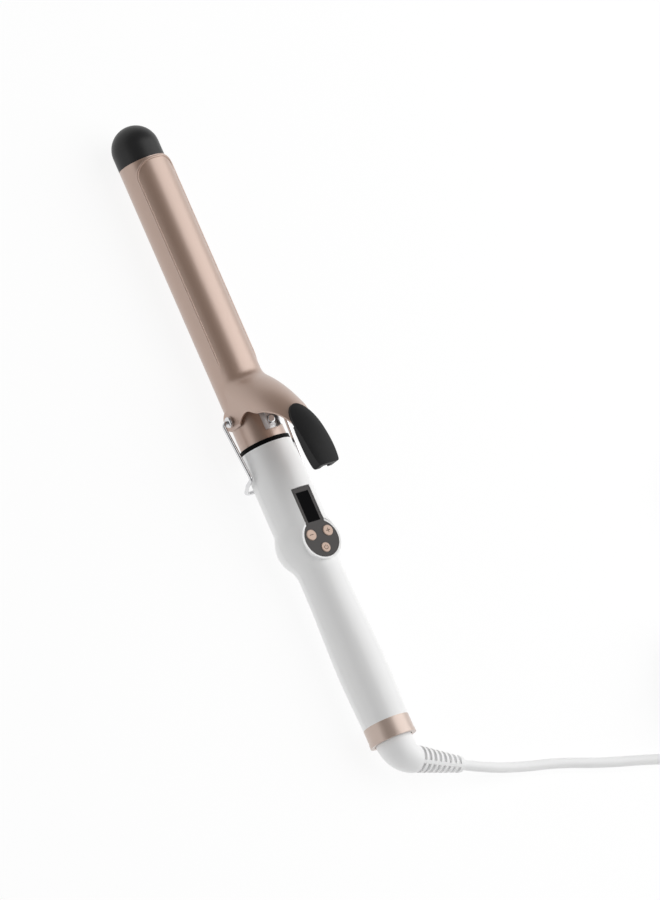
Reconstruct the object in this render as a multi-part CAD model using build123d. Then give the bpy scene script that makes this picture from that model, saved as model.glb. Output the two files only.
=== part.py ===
from build123d import *
import math
import os

import numpy as np

# A curling iron with a spring clamp, a wire stand and a swivelling cord.
# Sizes are in millimetres. Pieces are worked out along the iron's own axis: x is the distance from
# the tip, y is across and z is up through the lever, with the axis at zero. On export they move so
# that the origin lies under the middle of the iron, on the surface that it rests on.

# Clearances
SEAT = 0.05
RUN = 0.06
FREE = 0.3

# Barrel
CAP_LENGTH = 20.8
CAP_SPIGOT = 9.0
BARREL_RADIUS = 12.7
BARREL_WALL = 1.2
BARREL_LENGTH = 161.0

# Black holder between barrel and handle
FLANGE_WIDTH = 2.3
FLANGE_RADIUS = 13.65
HOLDER_FRONT = 9.0
HOLDER_REAR = 18.0
HOLDER_WALL = 2.4

# Handle
HANDLE_WALL = 2.0
COLLAR_RADIUS = 14.8
COLLAR_LEAD = 18.0
BALL_FROM_FLANGE = 54.6
BALL_RADIUS = 17.1
COLLAR_BLEND = 3.0
WAIST_BLEND = 14.0
WAIST_FROM_BALL = 25.5
WAIST_RADIUS = 12.0
SWELL_FROM_BALL = 70.0
SWELL_RADIUS = 13.25
GRIP_LENGTH = 101.5
GRIP_END_RADIUS = 12.45
SEAM = 0.1
END_RING_LENGTH = 10.0
END_BEAD_WIDTH = 2.0
END_BEAD_RISE = 0.25
END_RING_WALL = 1.4
END_LIP_WIDTH = 1.4
END_LIP_RADIUS = 10.4
NECK_WALL = 1.8

# Control panel, measured from the middle of its disc
PANEL_BACK = 1.9
PANEL_HEIGHT = 13.4
PANEL_THICKNESS = 1.2
PANEL_DISC_RADIUS = 10.2
DISPLAY_WIDTH = 11.6
DISPLAY_REACH = 28.9
WINDOW_WIDTH = 7.9
WINDOW_LENGTH = 16.7
WINDOW_MIDDLE = 18.0
WINDOW_THICKNESS = 1.0
PANEL_LEDGE = 0.6
PANEL_FRAME_WALL = 1.2
PANEL_FRAME_DEPTH = 3.8
PANEL_EDGE_GAP = 0.1
BUTTON_PROUD = 0.5
BUTTON_TRAVEL = 0.5
BUTTON_LIP = 0.25
BUTTON_LIP_HEIGHT = 0.7
BUTTON_STEM_RADIUS = 1.3
SIDE_BUTTON_RADIUS = 2.95
SIDE_BUTTON_ACROSS = 5.4
SIDE_BUTTON_FORWARD = 3.0
POWER_BUTTON_RADIUS = 2.65
POWER_BUTTON_BACK = 5.2

# Boards
BOARD_THICKNESS = 1.2
CONTROL_BOARD_TOP = 8.4
CONTROL_BOARD_WIDTH = 16.0
CONTROL_BOARD_LENGTH = 37.0
CONTROL_BOARD_BACK = 7.4
SWITCH_SIDE = 4.2
LCD_WIDTH = 8.6
LCD_LENGTH = 18.0
POWER_BOARD_WIDTH = 19.0
POWER_BOARD_GAP = 3.0
POWER_BOARD_FROM_BALL = 21.7
CAPACITOR_RADIUS = 4.0
CAPACITOR_LENGTH = 9.0
CHIP_SIDE = 6.0
CHIP_HEIGHT = 2.0

# Casing screws
SCREW_RADIUS = 1.2
SCREW_HEAD_RADIUS = 2.3
SCREW_HEAD_HEIGHT = 1.5
SCREW_LENGTH = 12.0
SCREW_SEAT = 6.5
BOSS_WALL = 1.8
FRONT_SCREW_FROM_BALL = 32.0
MIDDLE_SCREW_FROM_BALL = 17.0
REAR_SCREW_GAP = 3.5

# Heater
HEATER_FRONT_GAP = 12.0
HEATER_REAR_GAP = 15.5
HEATER_THICKNESS = 5.0
HEATER_WIDTH = 14.0
HEATER_TAIL = 6.0
THERMISTOR_RADIUS = 1.1
THERMISTOR_LENGTH = 7.0
THERMISTOR_ACROSS = 9.0
FUSE_RADIUS = 2.2
FUSE_LENGTH = 10.0
FUSE_BACK = 10.0
WIRE_RADIUS = 0.9
WIRE_ACROSS = 4.5
WIRE_HEIGHT = 4.6

# Clamp
CLAMP_THICKNESS = 1.0
CLAMP_HALF_ANGLE = 59.0
CLAMP_FRONT_GAP = 1.2
CLAMP_NOSE_RADIUS = 8.5
PIVOT_FROM_FLANGE = 16.3
EAR_RADIUS = 5.9
STUD_RADIUS = 2.0
STUD_HEAD_RADIUS = 2.9
STUD_HEAD_HEIGHT = 2.0
PIVOT_BAR_RADIUS = 3.2

# Lever, measured from the pivot: x back towards the handle, z up from the axis
FLARE_START = -26.0
ARCH_START = -18.0
ARCH_CORNER = 2.0
ARCH_RADIUS = 74.0
ARCH_SECTIONS = 24
SHOULDER_START = 8.0
SHOULDER_LENGTH = 22.0
SHOULDER_INSET = 4.0
CROWN_LENGTH = 26.0
STRAP_CROWN = 0.9
EAR_WAIST_BACK = 2.2
EAR_WAIST_HEIGHT = 10.0
EAR_NOTCH_BACK = 1.0
EAR_NOTCH_HEIGHT = 16.5
EAR_TOP_BACK = 6.0
EAR_TOP_HEIGHT = 24.0
STRAP_SHOULDER_BACK = 6.5
STRAP_SHOULDER_HALF_WIDTH = 11.6
STRAP_NECK_BACK = 12.0
STRAP_NECK_HALF_WIDTH = 8.7
STRAP_TAPER_START = 3.0
STRAP_TAPER_END = 20.0
LEVER_END = 43.0
STRAP_HALF_WIDTH = 6.4
PAD_START = 8.5
PAD_END = 45.5
PAD_COVER = 2.7
PAD_MIDDLE = 24.0
PAD_HALF_WIDTH = 7.8
PAD_TAIL_HALF_WIDTH = 6.2
PAD_TAIL_RADIUS = 1.8
PAD_SKIRT_START = 22.0
PAD_SKIRT_STEP = 2.5
PAD_SKIRT_DROP = 5.0
PAD_NOTCH_WIDTH = 5.0
PAD_NOTCH_HEIGHT = 4.4
PAD_NOTCH_DEPTH = 0.8
PAD_BULGE = 0.9
PAD_CROWN_RADIUS = 17.0

# Clamp spring
BRACKET_WIDTH = 8.2
BRACKET_FRONT = 7.0
BRACKET_BACK = 12.0
BRACKET_WALL = 0.8
BRACKET_HEIGHT = 2.6
SPRING_WIDTH = 6.0
SPRING_THICKNESS = 0.5
SPRING_BEND_RADIUS = 2.6
SPRING_BEND_FORWARD = 3.0
SPRING_TIP_BACK = 6.0
SPRING_TIP_GAP = 0.6
SPRING_SCREW_BACK = 7.5
SPRING_SCREW_RADIUS = 1.3
SPRING_SCREW_HEAD = 2.3

# Wire stand
STAND_WIRE_RADIUS = 1.05
STAND_LEG_ACROSS = 19.3
STAND_LEG_LENGTH = 32.5
STAND_LEG_INSET = 2.3
STAND_LEG_RISE = 1.0
STAND_HOOK_BACK = 1.5
STAND_HOOK_DROP = 5.5
STAND_FOOT_BACK = 1.5
STAND_FOOT_ACROSS = 12.0
STAND_FOOT_GAP = 0.2
STAND_CORNER_RADIUS = 2.6
STAND_FOOT_RADIUS = 5.0
STAND_STUB = 5.6

# Swivel and elbow
SPIGOT_RADIUS = 5.0
SPIGOT_BORE = 3.0
SOCKET_LENGTH = 18.0
SOCKET_INSET = 1.6
CLIP_RADIUS = 5.7
CLIP_THICKNESS = 1.2
CLIP_GROOVE = 0.6
SLIP_RING_WIDTH = 2.5
SLIP_RING_SPACE = 2.0
SLIP_RING_THICKNESS = 0.7
CONTACT_THICKNESS = 0.4
CONTACT_WIDTH = 2.0
ELBOW_BASE_RADIUS = 9.9
ELBOW_RISE = 9.4
ELBOW_TURN = 72.0
ELBOW_DROOP = 9.0
ELBOW_LEG = 39.0
RELIEF_START = 9.4
RELIEF_START_RADIUS = 7.3
RELIEF_END_RADIUS = 4.3
RELIEF_COLLAR = 2.2
RELIEF_SLOTS = 8
RELIEF_SLOT_WIDTH = 1.9
RELIEF_SLOT_PITCH = 3.55
RELIEF_ROLL = 30.0
RELIEF_WEB = 0.9
RELIEF_CORE_RADIUS = 3.5

# Cord, in the frame of the finished part, standing on z = 0
CORD_RADIUS = 2.75
LEAD_FIRST_RUN = 17.0
LEAD_LAST_RUN = 20.0
LEAD_ROUTE = [
    (206.2, 75.5, 4.6),
    (209.8, 101.0, 2.85),
    (217.3, 128.0, 2.85),
    (222.9, 157.0, 2.85),
]
COIL_CENTRE = (201.0, 219.0)
COIL_INNER_RADIUS = 24.0
COIL_PITCH = 6.9
COIL_LAYER = 6.6
COIL_LAYERS = 4
COIL_FROM_ANGLE = -14.4
COIL_TO_ANGLE = 90.0
COIL_TURNS = 9
TAIL_RUN = 20.0
TAIL_END = (132.0, 258.0)
TIE_ANGLE = 205.0
TIE_WIDTH = 12.0
TIE_THICKNESS = 0.8

# Plug
PLUG_WIDTH = 35.0
PLUG_NECK_WIDTH = 15.0
PLUG_THICKNESS = 13.6
PLUG_LENGTH = 30.0
PLUG_FACE_LENGTH = 9.0
PLUG_RELIEF_LENGTH = 12.0
PLUG_CORNER = 4.0
PIN_RADIUS = 2.0
PIN_LENGTH = 19.0
PIN_SPACING = 18.6
PIN_ROOT = 6.0
PIN_ROOT_RADIUS = 2.3
PIN_COLLAR = 0.4

# Places along the axis
BARREL_START = CAP_LENGTH
FLANGE_START = BARREL_START + BARREL_LENGTH
HANDLE_START = FLANGE_START + FLANGE_WIDTH
BALL = HANDLE_START + BALL_FROM_FLANGE
PANEL = BALL + PANEL_BACK
GRIP_END = BALL + GRIP_LENGTH
END = GRIP_END + END_RING_LENGTH
PIVOT = FLANGE_START - PIVOT_FROM_FLANGE
BORE_RADIUS = BARREL_RADIUS - BARREL_WALL
CLAMP_INNER = BARREL_RADIUS + FREE
CLAMP_OUTER = CLAMP_INNER + CLAMP_THICKNESS
NECK_RADIUS = GRIP_END_RADIUS - END_RING_WALL
NECK_BORE = NECK_RADIUS - NECK_WALL
NECK_END = END - END_LIP_WIDTH
SOCKET_START = NECK_END - SOCKET_INSET - SOCKET_LENGTH
PANEL_BOTTOM = PANEL_HEIGHT - PANEL_THICKNESS
STAND_FOOT_DEPTH = COLLAR_RADIUS + STAND_FOOT_GAP + STAND_WIRE_RADIUS
RESTING_HEIGHT = max(BALL_RADIUS, STAND_FOOT_DEPTH + STAND_WIRE_RADIUS)
TO_PART_FRAME = Location((-END / 2, 0, RESTING_HEIGHT))


def rod_x(start, end, radius, y=0.0, z=0.0):
    plane = Plane(origin=(start, y, z), x_dir=(0, 1, 0), z_dir=(1, 0, 0))
    return extrude(plane * Circle(radius), end - start)


def tube_x(start, end, outer, inner):
    return rod_x(start, end, outer) - rod_x(start, end, inner)


def rod_y(x, z, start, end, radius):
    plane = Plane(origin=(x, start, z), x_dir=(1, 0, 0), z_dir=(0, 1, 0))
    return extrude(plane * Circle(radius), end - start)


def rod_z(x, y, bottom, top, radius):
    return extrude(Plane(origin=(x, y, bottom)) * Circle(radius), top - bottom)


def block(start, end, width, bottom, top, y=0.0):
    middle = ((start + end) / 2, y, (bottom + top) / 2)
    return Pos(*middle) * Box(end - start, width, top - bottom)


def revolved(outline):
    return revolve(make_face(outline), Axis.X)


def swept_round(path, radius):
    start = Plane(origin=path @ 0, z_dir=path % 0)
    return sweep(start * Circle(radius), path=path)


def export(shape, node):
    export_step(TO_PART_FRAME * shape, f"parts/{node}.step")


def export_lying(shape, node):
    export_step(shape, f"parts/{node}.step")


# Barrel end cap: a half-round dome, a short straight skirt and a spigot in the tube's bore
def cool_tip():
    corner = BARREL_RADIUS * (1 - math.sqrt(0.5))
    outline = ThreePointArc((0, 0), (corner, BARREL_RADIUS - corner), (BARREL_RADIUS, BARREL_RADIUS))
    outline += Line((BARREL_RADIUS, BARREL_RADIUS), (CAP_LENGTH, BARREL_RADIUS))
    outline += Line((CAP_LENGTH, BARREL_RADIUS), (CAP_LENGTH, 0))
    outline += Line((CAP_LENGTH, 0), (0, 0))
    spigot = tube_x(CAP_LENGTH, CAP_LENGTH + CAP_SPIGOT, BORE_RADIUS - SEAT, BORE_RADIUS - HOLDER_WALL)
    return revolved(outline) + spigot


def barrel_tube():
    tube = tube_x(BARREL_START, FLANGE_START, BARREL_RADIUS, BORE_RADIUS)
    tube -= rod_y(PIVOT, 0, -BARREL_RADIUS - 1, BARREL_RADIUS + 1, STUD_RADIUS + SEAT)
    screw_hole = rod_z(PIVOT + SPRING_SCREW_BACK, 0, 0, BARREL_RADIUS + 1, SPRING_SCREW_RADIUS + SEAT)
    return tube - screw_hole


def barrel_holder():
    flange = rod_x(FLANGE_START, HANDLE_START, FLANGE_RADIUS)
    front = rod_x(FLANGE_START - HOLDER_FRONT, FLANGE_START, BORE_RADIUS - SEAT)
    rear = rod_x(HANDLE_START, HANDLE_START + HOLDER_REAR, FLANGE_RADIUS - HANDLE_WALL - SEAT)
    bore = rod_x(0, END, BORE_RADIUS - SEAT - HOLDER_WALL)
    screw_room = rod_z(PIVOT + SPRING_SCREW_BACK, 0, 0, BARREL_RADIUS, SPRING_SCREW_RADIUS + FREE)
    return flange + front + rear - bore - screw_room


# Heater: a flat ceramic element between two half-round aluminium blocks
def heater_span():
    return BARREL_START + HEATER_FRONT_GAP, PIVOT - HEATER_REAR_GAP


def heat_spreader(side):
    start, end = heater_span()
    half_round = rod_x(start, end, BORE_RADIUS - SEAT)
    keep = block(start, end, 2 * BORE_RADIUS, 0, BORE_RADIUS)
    flat = block(start, end, 2 * BORE_RADIUS, 0, HEATER_THICKNESS / 2 + SEAT)
    spreader = half_round & keep
    spreader -= flat
    groove = THERMISTOR_RADIUS + SEAT
    spreader -= rod_x(end - THERMISTOR_LENGTH, end, groove, y=THERMISTOR_ACROSS, z=HEATER_THICKNESS / 2)
    return spreader if side > 0 else mirror(spreader, Plane.XY)


def ptc_heater():
    start, end = heater_span()
    half = HEATER_THICKNESS / 2
    return block(start, end + HEATER_TAIL, HEATER_WIDTH, -half, half)


def thermistor():
    end = heater_span()[1]
    start = end - THERMISTOR_LENGTH
    return rod_x(start, end, THERMISTOR_RADIUS, y=THERMISTOR_ACROSS, z=HEATER_THICKNESS / 2)


# Thermal fuse: a small can that lies in the holder's bore
def thermal_fuse():
    start = HANDLE_START + FUSE_BACK
    floor = BORE_RADIUS - SEAT - HOLDER_WALL
    return rod_x(start - FUSE_LENGTH, start, FUSE_RADIUS, z=FUSE_RADIUS + SEAT - floor)


def heater_leads():
    heater_end = heater_span()[1]
    on_heater = HEATER_THICKNESS / 2 + WIRE_RADIUS
    board_start = power_board_span()[0]
    leads = Part()
    for side in (-1, 1):
        y = side * WIRE_ACROSS
        path = FilletPolyline(
            (heater_end + 1, y, on_heater),
            (heater_end + HEATER_TAIL, y, on_heater),
            (heater_end + 2 * HEATER_TAIL, y, WIRE_HEIGHT),
            (board_start - 8, y, WIRE_HEIGHT),
            (board_start + 2, y, WIRE_RADIUS),
            (board_start + 6, y, WIRE_RADIUS),
            radius=3 * WIRE_RADIUS,
        )
        leads += swept_round(path, WIRE_RADIUS)
    return leads


# Handle: a collar that swells from the flange, a ball knuckle and a gently swelling grip
def handle_form(wall):
    collar = COLLAR_RADIUS - wall
    waist = WAIST_RADIUS - wall
    ball = BALL_RADIUS - wall
    collar_start = HANDLE_START + COLLAR_LEAD
    collar_end = BALL - math.sqrt(ball**2 - collar**2)
    waist_start = BALL + math.sqrt(ball**2 - waist**2)
    outline = Line((HANDLE_START, 0), (HANDLE_START, FLANGE_RADIUS - wall))
    outline += Spline(
        (HANDLE_START, FLANGE_RADIUS - wall),
        (collar_start, collar),
        tangents=((1, 0.11), (1, 0)),
    )
    outline += Line((collar_start, collar), (collar_end, collar))
    outline += ThreePointArc((collar_end, collar), (BALL, ball), (waist_start, waist))
    outline += Spline(
        (waist_start, waist),
        (BALL + WAIST_FROM_BALL, waist),
        (BALL + SWELL_FROM_BALL, SWELL_RADIUS - wall),
        (GRIP_END, GRIP_END_RADIUS - wall),
        tangents=((1, 0), (1, -0.035)),
    )
    outline += Line((GRIP_END, GRIP_END_RADIUS - wall), (GRIP_END, 0))
    outline += Line((GRIP_END, 0), (HANDLE_START, 0))
    return revolved(outline), collar_end, waist_start


def ring_at(body, x):
    rings = body.edges().filter_by(GeomType.CIRCLE)
    return rings.sort_by(lambda edge: abs(edge.arc_center.X - x))[0]


def blended_handle():
    body, collar_end, waist_start = handle_form(0)
    body = fillet(ring_at(body, waist_start), WAIST_BLEND)
    return fillet(ring_at(body, collar_end), COLLAR_BLEND)


def panel_outline(grow):
    plate = Circle(PANEL_DISC_RADIUS + grow)
    display = Pos(-DISPLAY_REACH / 2, 0) * Rectangle(DISPLAY_REACH + 2 * grow, DISPLAY_WIDTH + 2 * grow)
    return plate + display


def panel_prism(grow, bottom, top):
    return extrude(Plane(origin=(PANEL, 0, bottom)) * panel_outline(grow), top - bottom)


def screw_places():
    front = BALL - FRONT_SCREW_FROM_BALL
    return [front, BALL + MIDDLE_SCREW_FROM_BALL, rear_screw()]


def rear_screw():
    return spigot_start() - REAR_SCREW_GAP - SCREW_RADIUS - BOSS_WALL


def handle_shells():
    rim_radius = PANEL_DISC_RADIUS + PANEL_FRAME_WALL
    outside = blended_handle() - rod_z(PANEL, 0, PANEL_HEIGHT, BALL_RADIUS + 1, rim_radius)
    outside += rod_z(PANEL, 0, PANEL_BOTTOM - PANEL_FRAME_DEPTH, PANEL_HEIGHT, rim_radius)
    walls = outside - handle_form(HANDLE_WALL)[0]
    walls += tube_x(GRIP_END, NECK_END, NECK_RADIUS - SEAT, NECK_BORE)
    walls -= rod_x(GRIP_END - 2 * HANDLE_WALL, END, NECK_BORE)
    half_seam = SEAM / 2
    top = walls & block(HANDLE_START, NECK_END, 3 * BALL_RADIUS, half_seam, 2 * BALL_RADIUS)
    bottom = walls & block(HANDLE_START, NECK_END, 3 * BALL_RADIUS, -2 * BALL_RADIUS, -half_seam)
    top += panel_prism(PANEL_FRAME_WALL, PANEL_BOTTOM - PANEL_FRAME_DEPTH, BALL_RADIUS) & outside
    top -= panel_prism(PANEL_EDGE_GAP, PANEL_BOTTOM, BALL_RADIUS + 1)
    top -= panel_prism(-PANEL_LEDGE, half_seam, BALL_RADIUS)
    boss_radius = SCREW_RADIUS + BOSS_WALL
    for x in screw_places():
        top += rod_z(x, 0, half_seam, BALL_RADIUS, boss_radius) & outside
        top -= rod_z(x, 0, 0, SCREW_LENGTH - SCREW_SEAT + 1, SCREW_RADIUS + SEAT)
        bottom += rod_z(x, 0, -BALL_RADIUS, -half_seam, boss_radius) & outside
        bottom -= rod_z(x, 0, -BALL_RADIUS, -SCREW_SEAT, SCREW_HEAD_RADIUS + FREE)
        bottom -= rod_z(x, 0, -BALL_RADIUS, 0, SCREW_RADIUS + SEAT)
    return top, bottom


def casing_screws():
    screws = Part()
    for x in screw_places():
        shank = rod_z(x, 0, -SCREW_SEAT, SCREW_LENGTH - SCREW_SEAT, SCREW_RADIUS)
        head = rod_z(x, 0, -SCREW_SEAT - SCREW_HEAD_HEIGHT, -SCREW_SEAT, SCREW_HEAD_RADIUS)
        screws += shank + head
    return screws


def end_ring():
    ring = tube_x(GRIP_END, END, GRIP_END_RADIUS, NECK_RADIUS)
    bead = tube_x(END - END_BEAD_WIDTH, END, GRIP_END_RADIUS + END_BEAD_RISE, NECK_RADIUS)
    lip = tube_x(NECK_END, END, GRIP_END_RADIUS, END_LIP_RADIUS)
    return ring + bead + lip


# Control panel: a keyhole plate with the display window and the three button holes
def button_places():
    return {
        "minus_button": (PANEL - SIDE_BUTTON_FORWARD, -SIDE_BUTTON_ACROSS, SIDE_BUTTON_RADIUS),
        "plus_button": (PANEL - SIDE_BUTTON_FORWARD, SIDE_BUTTON_ACROSS, SIDE_BUTTON_RADIUS),
        "power_button": (PANEL + POWER_BUTTON_BACK, 0, POWER_BUTTON_RADIUS),
    }


def window_block(grow, bottom, top):
    middle = PANEL - WINDOW_MIDDLE
    half = WINDOW_LENGTH / 2 + grow
    return block(middle - half, middle + half, WINDOW_WIDTH + 2 * grow, bottom, top)


def control_panel():
    plate = panel_prism(0, PANEL_BOTTOM, PANEL_HEIGHT)
    plate -= window_block(SEAT, PANEL_BOTTOM - 1, PANEL_HEIGHT + 1)
    for x, y, radius in button_places().values():
        plate -= rod_z(x, y, PANEL_BOTTOM - 1, PANEL_HEIGHT + 1, radius + RUN)
    return plate


def button(place):
    x, y, radius = place
    lip_top = PANEL_BOTTOM - RUN
    lip_bottom = lip_top - BUTTON_LIP_HEIGHT
    cap = rod_z(x, y, lip_bottom, PANEL_HEIGHT + BUTTON_PROUD, radius)
    cap = fillet(cap.edges().group_by(Axis.Z)[-1], BUTTON_PROUD * 0.8)
    lip = rod_z(x, y, lip_bottom, lip_top, radius + BUTTON_LIP)
    stem = rod_z(x, y, switch_top() + BUTTON_TRAVEL + RUN, lip_bottom, BUTTON_STEM_RADIUS)
    return cap + lip + stem


def switch_top():
    return PANEL_BOTTOM - BUTTON_LIP_HEIGHT - 2 * BUTTON_TRAVEL


def tact_switches():
    switches = Part()
    half = SWITCH_SIDE / 2
    for x, y, radius in button_places().values():
        switches += block(x - half, x + half, SWITCH_SIDE, CONTROL_BOARD_TOP, switch_top(), y=y)
    return switches


def lcd_window():
    bottom = PANEL_HEIGHT - SEAT - WINDOW_THICKNESS
    return window_block(0, bottom, PANEL_HEIGHT - SEAT)


def lcd_module():
    middle = PANEL - WINDOW_MIDDLE
    half = LCD_LENGTH / 2
    return block(middle - half, middle + half, LCD_WIDTH, CONTROL_BOARD_TOP, PANEL_BOTTOM - SEAT)


def control_board():
    end = PANEL + CONTROL_BOARD_BACK
    bottom = CONTROL_BOARD_TOP - BOARD_THICKNESS
    return block(end - CONTROL_BOARD_LENGTH, end, CONTROL_BOARD_WIDTH, bottom, CONTROL_BOARD_TOP)


def power_board_span():
    start = BALL + POWER_BOARD_FROM_BALL
    return start, rear_screw() - SCREW_RADIUS - BOSS_WALL - POWER_BOARD_GAP


def power_board():
    start, end = power_board_span()
    return block(start, end, POWER_BOARD_WIDTH, -BOARD_THICKNESS, 0)


def power_components():
    board_start, board_end = power_board_span()
    start = board_start + (board_end - board_start) / 3
    capacitor = rod_x(start, start + CAPACITOR_LENGTH, CAPACITOR_RADIUS, z=CAPACITOR_RADIUS)
    capacitor -= block(start, start + CAPACITOR_LENGTH, 2 * CAPACITOR_RADIUS, 0, SEAT)
    chip_start = start + CAPACITOR_LENGTH + CHIP_SIDE / 2
    chip = block(chip_start, chip_start + CHIP_SIDE, CHIP_SIDE, 0, CHIP_HEIGHT)
    return capacitor + chip


# Clamp: a sheet that follows the barrel, rises into an arch between two ears and flattens to a strap
def arch_slope(x):
    return math.asin(min(1.0, (LEVER_END - 1 - x) / ARCH_RADIUS))


def arch_rise(x):
    above = ARCH_RADIUS * (math.cos(arch_slope(x)) - math.cos(arch_slope(ARCH_START)))
    return (above + math.sqrt(above**2 + ARCH_CORNER**2)) / 2


def lever_top(x):
    return CLAMP_OUTER + arch_rise(x) - arch_rise(FLARE_START)


def eased(share):
    share = min(max(share, 0.0), 1.0)
    return share * share * (3 - 2 * share)


def arch_face(x, inset):
    full = CLAMP_OUTER - inset
    half_width = full - SHOULDER_INSET * eased((x - SHOULDER_START) / SHOULDER_LENGTH)
    top = lever_top(x) - inset
    side = top - full + (full - STRAP_CROWN) * eased(x / CROWN_LENGTH)
    left = (PIVOT + x, -half_width, -2 * EAR_RADIUS)
    right = (PIVOT + x, half_width, -2 * EAR_RADIUS)
    left_side = (PIVOT + x, -half_width, side)
    right_side = (PIVOT + x, half_width, side)
    outline = Line(left, left_side) + ThreePointArc(left_side, (PIVOT + x, 0, top), right_side)
    outline += Line(right_side, right) + Line(right, left)
    return make_face(outline)


def lever_form(inset):
    step = (LEVER_END - FLARE_START) / (ARCH_SECTIONS - 1)
    return loft([arch_face(FLARE_START + step * index, inset) for index in range(ARCH_SECTIONS)])


def ear_prism():
    reach = 2 * CLAMP_OUTER
    edge = CLAMP_OUTER * math.cos(math.radians(CLAMP_HALF_ANGLE))
    tall = lever_top(LEVER_END) + EAR_RADIUS
    front = Spline(
        (FLARE_START - 1, edge),
        ((FLARE_START - EAR_RADIUS) / 2, edge * 0.75),
        (-EAR_RADIUS, 0),
        tangents=((1, 0), (0.1, -1)),
    )
    under = ThreePointArc((-EAR_RADIUS, 0), (0, -EAR_RADIUS), (EAR_RADIUS, 0))
    rear = Spline(
        (EAR_RADIUS, 0),
        (EAR_WAIST_BACK, EAR_WAIST_HEIGHT),
        (EAR_NOTCH_BACK, EAR_NOTCH_HEIGHT),
        (EAR_TOP_BACK, EAR_TOP_HEIGHT),
        tangents=((0, 1), (0.8, 0.7)),
    )
    outline = front + under + rear
    outline += Polyline(
        (EAR_TOP_BACK, EAR_TOP_HEIGHT),
        (LEVER_END + EAR_RADIUS, EAR_TOP_HEIGHT),
        (LEVER_END + EAR_RADIUS, tall),
        (FLARE_START - 1, tall),
        (FLARE_START - 1, edge),
    )
    plane = Plane(origin=(PIVOT, reach, 0), x_dir=(1, 0, 0), z_dir=(0, -1, 0))
    return extrude(plane * make_face(outline), 2 * reach)


def strap_prism():
    wide = CLAMP_OUTER + 1
    right = Spline(
        (STRAP_TAPER_START, wide),
        (STRAP_SHOULDER_BACK, STRAP_SHOULDER_HALF_WIDTH),
        (STRAP_NECK_BACK, STRAP_NECK_HALF_WIDTH),
        (STRAP_TAPER_END, STRAP_HALF_WIDTH),
        (LEVER_END, STRAP_HALF_WIDTH),
        tangents=((0.6, -1), (1, 0)),
    )
    left = mirror(right, Plane.XZ)
    outline = right + left
    outline += Line((LEVER_END, STRAP_HALF_WIDTH), (LEVER_END, -STRAP_HALF_WIDTH))
    outline += Polyline(
        (STRAP_TAPER_START, wide),
        (FLARE_START - 1, wide),
        (FLARE_START - 1, -wide),
        (STRAP_TAPER_START, -wide),
    )
    plane = Plane(origin=(PIVOT, 0, -2 * EAR_RADIUS))
    return extrude(plane * make_face(outline), 2 * lever_top(LEVER_END))


def clamp_shell():
    start = BARREL_START + CLAMP_FRONT_GAP
    root = PIVOT + FLARE_START
    band = tube_x(start, root, CLAMP_OUTER, CLAMP_INNER)
    reach = CLAMP_OUTER * math.sin(math.radians(CLAMP_HALF_ANGLE))
    edge = CLAMP_OUTER * math.cos(math.radians(CLAMP_HALF_ANGLE))
    plan = Pos((start + root) / 2, 0) * Rectangle(root - start, 2 * reach)
    plan = fillet(plan.vertices().group_by(Axis.X)[0], CLAMP_NOSE_RADIUS)
    band &= extrude(Plane(origin=(0, 0, edge)) * plan, CLAMP_OUTER)
    lever = lever_form(0) - lever_form(CLAMP_THICKNESS)
    lever = lever & ear_prism()
    lever = lever & strap_prism()
    clamp = band + lever
    return clamp - rod_y(PIVOT, 0, -2 * CLAMP_OUTER, 2 * CLAMP_OUTER, STUD_RADIUS + RUN)


# Lever pad: a spoon-shaped plastic cover over the strap, with skirts at its rear half
def pad_plan():
    nose_length = PAD_MIDDLE - PAD_START
    nose = EllipticalCenterArc((PAD_MIDDLE, 0), nose_length, PAD_HALF_WIDTH, start_angle=90, arc_size=180)
    right = Spline(
        (PAD_MIDDLE, PAD_HALF_WIDTH),
        (PAD_END, PAD_TAIL_HALF_WIDTH),
        tangents=((1, 0), (1, -0.3)),
    )
    rear = Line((PAD_END, PAD_TAIL_HALF_WIDTH), (PAD_END, -PAD_TAIL_HALF_WIDTH))
    plan = make_face(nose + right + rear + mirror(right, Plane.XZ))
    corners = plan.vertices().group_by(Axis.X)[-1]
    return fillet(corners, PAD_TAIL_RADIUS)


def pad_crown():
    radius = PAD_BULGE * ARCH_RADIUS
    middle = Vector(PIVOT + LEVER_END - 1, 0, lever_top(LEVER_END - 1) + PAD_COVER - radius)
    wide = 1.5 * PAD_HALF_WIDTH
    edge = radius - PAD_CROWN_RADIUS + math.sqrt(PAD_CROWN_RADIUS**2 - wide**2)
    outline = ThreePointArc((-wide, edge), (0, radius), (wide, edge))
    outline += Polyline((wide, edge), (wide, radius / 2), (-wide, radius / 2), (-wide, edge))
    section = Plane(origin=middle, x_dir=(0, 1, 0), z_dir=(1, 0, 0)) * make_face(outline)
    return revolve(section, Axis(middle, (0, 1, 0)))


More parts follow.
